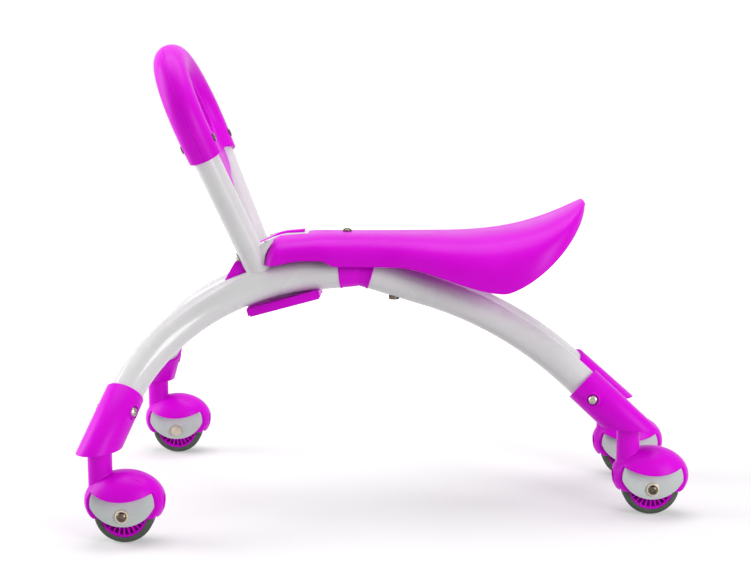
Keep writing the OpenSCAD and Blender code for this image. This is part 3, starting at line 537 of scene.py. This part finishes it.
def skirt_height(x):
    """Lower edge: arched over the front tubes, lowest behind them, rising to the tail."""
    if x < LOW_X:
        start = smooth((x - ARCH_FROM) / ARCH_GROWTH)
        arch = ARCH_RISE * start * (1 - smooth((x - ARCH_TO) / ARCH_STEP))
        return SKIRT_Z - (SKIRT_Z - SKIRT_LOW_Z) * smooth(x / LOW_X) + arch
    t = min(1, (x - LOW_X) / (TAIL_X - LOW_X))
    rise = SEAT_Z + TAIL_RISE - LIP_HEIGHT - SKIRT_LOW_Z
    return SKIRT_LOW_Z + rise * (1 - (1 - t ** SKIRT_CURVE) ** (1 / SKIRT_CURVE))


def half_width(x):
    """Half width: round corners at the nose, widest under the rider, closing to the tail."""
    if x < NOSE_X + NOSE_CORNER:
        t = min(1, (NOSE_X + NOSE_CORNER - x) / NOSE_CORNER)
        return NOSE_HALF - NOSE_CORNER + NOSE_CORNER * math.sqrt(1 - t * t)
    if x <= WIDE_X:
        growth = smooth((x + RISE_FROM) / (WIDE_X + RISE_FROM))
        return NOSE_HALF + (SEAT_HALF - NOSE_HALF) * growth
    t = min(1, (x - WIDE_X) / (TAIL_X - WIDE_X))
    return SEAT_HALF * math.sqrt(1 - TAIL_CLOSING * t ** TAIL_CURVE)


def top_height(x):
    """Height of the crown: a dip under the bracket, the flat and the rising tail."""
    dip = NOSE_DIP * min(1, max(0, DIP_X - x) / (DIP_X - NOSE_BACK))
    rise = max(0, x - RISE_FROM) / (TAIL_X - RISE_FROM)
    return SEAT_Z - dip + TAIL_RISE * rise ** RISE_CURVE


def full_arc(angle, fullness):
    """Point of a quarter of a superellipse at a polar angle."""
    c, s = max(0, math.cos(angle)), math.sin(angle)
    reach = (c ** fullness + s ** fullness) ** (-1 / fullness)
    return reach * c, reach * s


def station(s):
    """Place and crown share of a section: nose, middle and tail have their own spacing."""
    if s < NOSE_SHARE:
        back, share = full_arc(QUARTER * s / NOSE_SHARE, NOSE_FULLNESS)
        return NOSE_BACK + (NOSE_X - NOSE_BACK) * back, share
    if s < NOSE_SHARE + MID_SHARE:
        return NOSE_BACK + (WIDE_X - NOSE_BACK) * (s - NOSE_SHARE) / MID_SHARE, 1
    a = QUARTER * (s - NOSE_SHARE - MID_SHARE) / (1 - NOSE_SHARE - MID_SHARE)
    x = WIDE_X + (TAIL_X - WIDE_X) * math.sin(a)
    closing = max(0, (x - TAIL_X + TAIL_ROUND) / TAIL_ROUND)
    return x, math.sqrt(max(0, 1 - closing ** 2))


def saddle_point(s, t):
    """Point of the outer face: s runs from nose to tail, t across from side to side."""
    x, share = station(s)
    low = skirt_height(x)
    side = 1 if t < 0.5 else -1
    out, up = full_arc(math.pi * (t if t < 0.5 else 1 - t), FULLNESS)
    high = low + (top_height(x) - low) * share
    return x * MM, side * half_width(x) * out * MM, (low + (high - low) * up) * MM


def inside_a_limb(place):
    """True for a place inside the tube of the handle's limb on its side."""
    rise = Vector((-math.sin(HANDLE_LEAN), 0, math.cos(HANDLE_LEAN)))
    limb = rise * math.cos(LIMB_ANGLE) + Vector((0, math.sin(LIMB_ANGLE), 0))
    reach = Vector((place.x, abs(place.y), place.z)) / MM - LIMB_FOOT
    return (reach - limb * reach.dot(limb)).length < LIMB_ROOM


def make_saddle():
    """The shell from a laid-out grid, with an even wall and a rounded rim."""
    bpy.ops.object.select_all(action="DESELECT")
    bpy.ops.mesh.primitive_grid_add(x_subdivisions=STATIONS, y_subdivisions=ACROSS, size=2)
    saddle = bpy.context.object
    saddle.name = "saddle_shell"
    for vertex in saddle.data.vertices:
        vertex.co = saddle_point((vertex.co.x + 1) / 2, (vertex.co.y + 1) / 2)
    select_where(saddle, inside_a_limb)
    bpy.ops.mesh.delete(type="VERT")
    face_outward(saddle)
    if max(saddle.data.polygons, key=lambda face: face.center.z).normal.z < 0:
        saddle.data.flip_normals()
    apply_modifier(saddle, "SOLIDIFY", thickness=WALL * MM, offset=-1)
    apply_modifier(saddle, "BEVEL", width=RIM_ROUND * MM, segments=3, limit_method="ANGLE",
                   angle_limit=RIM_ANGLE)
    face_outward(saddle)
    belongs(saddle, BODY_OF_NODE["saddle"], "purple_plastic", purple, "saddle")


make_saddle()


# The camera at the photograph's viewpoint

CAMERA_PLACE = (-0.0030, -1.2159, 0.3875)
CAMERA_DOWN = 8.77
CAMERA_TURN = 0.80
FOCAL_PIXELS = 1301
PICTURE_WIDTH = 750
SENSOR = 36
FAR_CLIP = 20

bpy.ops.object.camera_add(
    location=CAMERA_PLACE,
    rotation=(math.radians(90 - CAMERA_DOWN), 0, math.radians(CAMERA_TURN)))
camera = bpy.context.object
camera.data.sensor_width = SENSOR
camera.data.lens = FOCAL_PIXELS / PICTURE_WIDTH * SENSOR
camera.data.clip_end = FAR_CLIP
bpy.context.scene.camera = camera


# White studio: a floor that keeps the shadows, a plain world and three soft boxes

FLOOR_SIZE = 12
FLOOR_Z = -0.0005
FLOOR_GREY = 0.62
FLOOR_ROUGHNESS = 0.8
FLOOR_SPECULAR = 0.05
NEAR_LIFT = 0.36
LIFT_FROM = 0.42
LIFT_TO = 1.1
WORLD_LEVEL = 0.22
# Each soft box: name, place, target, size and brightness
SOFT_BOXES = (
    ("top_box", (0.0, 0.3, 1.9), (0, 0, 0.2), (1.7, 1.2), 3.7),
    ("left_box", (-1.7, 0.1, 0.75), (0, 0, 0.22), (1.0, 1.3), 6.0),
    ("right_box", (1.45, -1.35, 0.75), (0, 0, 0.22), (0.8, 1.3), 7.0))


def seen_directly(nodes, links):
    """A mask that is 1 for what the camera sees, straight, mirrored or through glass."""
    ray = nodes.new("ShaderNodeLightPath")
    mask = ray.outputs["Is Camera Ray"]
    for kind in ("Is Glossy Ray", "Is Transmission Ray"):
        either = nodes.new("ShaderNodeMath")
        either.operation = "MAXIMUM"
        links.new(mask, either.inputs[0])
        links.new(ray.outputs[kind], either.inputs[1])
        mask = either.outputs[0]
    return mask


def make_floor():
    """A pale floor that keeps the shadows near the object and is white far from it."""
    bpy.ops.object.select_all(action="DESELECT")
    bpy.ops.mesh.primitive_plane_add(size=FLOOR_SIZE, location=(0, 0, FLOOR_Z))
    floor = bpy.context.object
    floor.name = "studio_floor"
    material = bpy.data.materials.new("studio_floor")
    material.use_nodes = True
    nodes, links = material.node_tree.nodes, material.node_tree.links
    shader = nodes["Principled BSDF"]
    shader.inputs["Base Color"].default_value = (FLOOR_GREY, FLOOR_GREY, FLOOR_GREY, 1)
    shader.inputs["Roughness"].default_value = FLOOR_ROUGHNESS
    shader.inputs["Specular IOR Level"].default_value = FLOOR_SPECULAR
    shader.inputs["Emission Color"].default_value = (1, 1, 1, 1)
    place = nodes.new("ShaderNodeTexCoord")
    away = nodes.new("ShaderNodeVectorMath")
    away.operation = "LENGTH"
    links.new(place.outputs["Object"], away.inputs[0])
    lift = nodes.new("ShaderNodeMapRange")
    lift.interpolation_type = "SMOOTHSTEP"
    lift.inputs["From Min"].default_value = LIFT_FROM
    lift.inputs["From Max"].default_value = LIFT_TO
    lift.inputs["To Min"].default_value = NEAR_LIFT
    lift.inputs["To Max"].default_value = 1.0
    links.new(away.outputs["Value"], lift.inputs["Value"])
    level = nodes.new("ShaderNodeMath")
    level.operation = "MULTIPLY"
    links.new(lift.outputs["Result"], level.inputs[0])
    links.new(seen_directly(nodes, links), level.inputs[1])
    links.new(level.outputs[0], shader.inputs["Emission Strength"])
    floor.data.materials.append(material)


def make_world():
    """A plain world: white where it is seen, dimmer as a source of light."""
    world = bpy.data.worlds.new("studio")
    bpy.context.scene.world = world
    world.use_nodes = True
    nodes, links = world.node_tree.nodes, world.node_tree.links
    level = nodes.new("ShaderNodeMapRange")
    level.inputs["To Min"].default_value = WORLD_LEVEL
    level.inputs["To Max"].default_value = 1.0
    links.new(seen_directly(nodes, links), level.inputs["Value"])
    nodes["Background"].inputs["Color"].default_value = (1, 1, 1, 1)
    links.new(level.outputs["Result"], nodes["Background"].inputs["Strength"])


def soft_box(name, place, target, size, brightness):
    """A rectangular lamp whose face has the given brightness, where 1 is white."""
    bpy.ops.object.select_all(action="DESELECT")
    bpy.ops.object.light_add(type="AREA", location=place)
    lamp = bpy.context.object
    lamp.name = name
    lamp.data.shape = "RECTANGLE"
    lamp.data.size, lamp.data.size_y = size
    lamp.data.energy = brightness * math.pi * size[0] * size[1]
    direction = Vector(target) - Vector(place)
    lamp.rotation_euler = direction.to_track_quat("-Z", "Y").to_euler()


make_floor()
make_world()
for box in SOFT_BOXES:
    soft_box(*box)

bpy.context.scene.view_settings.view_transform = "Standard"
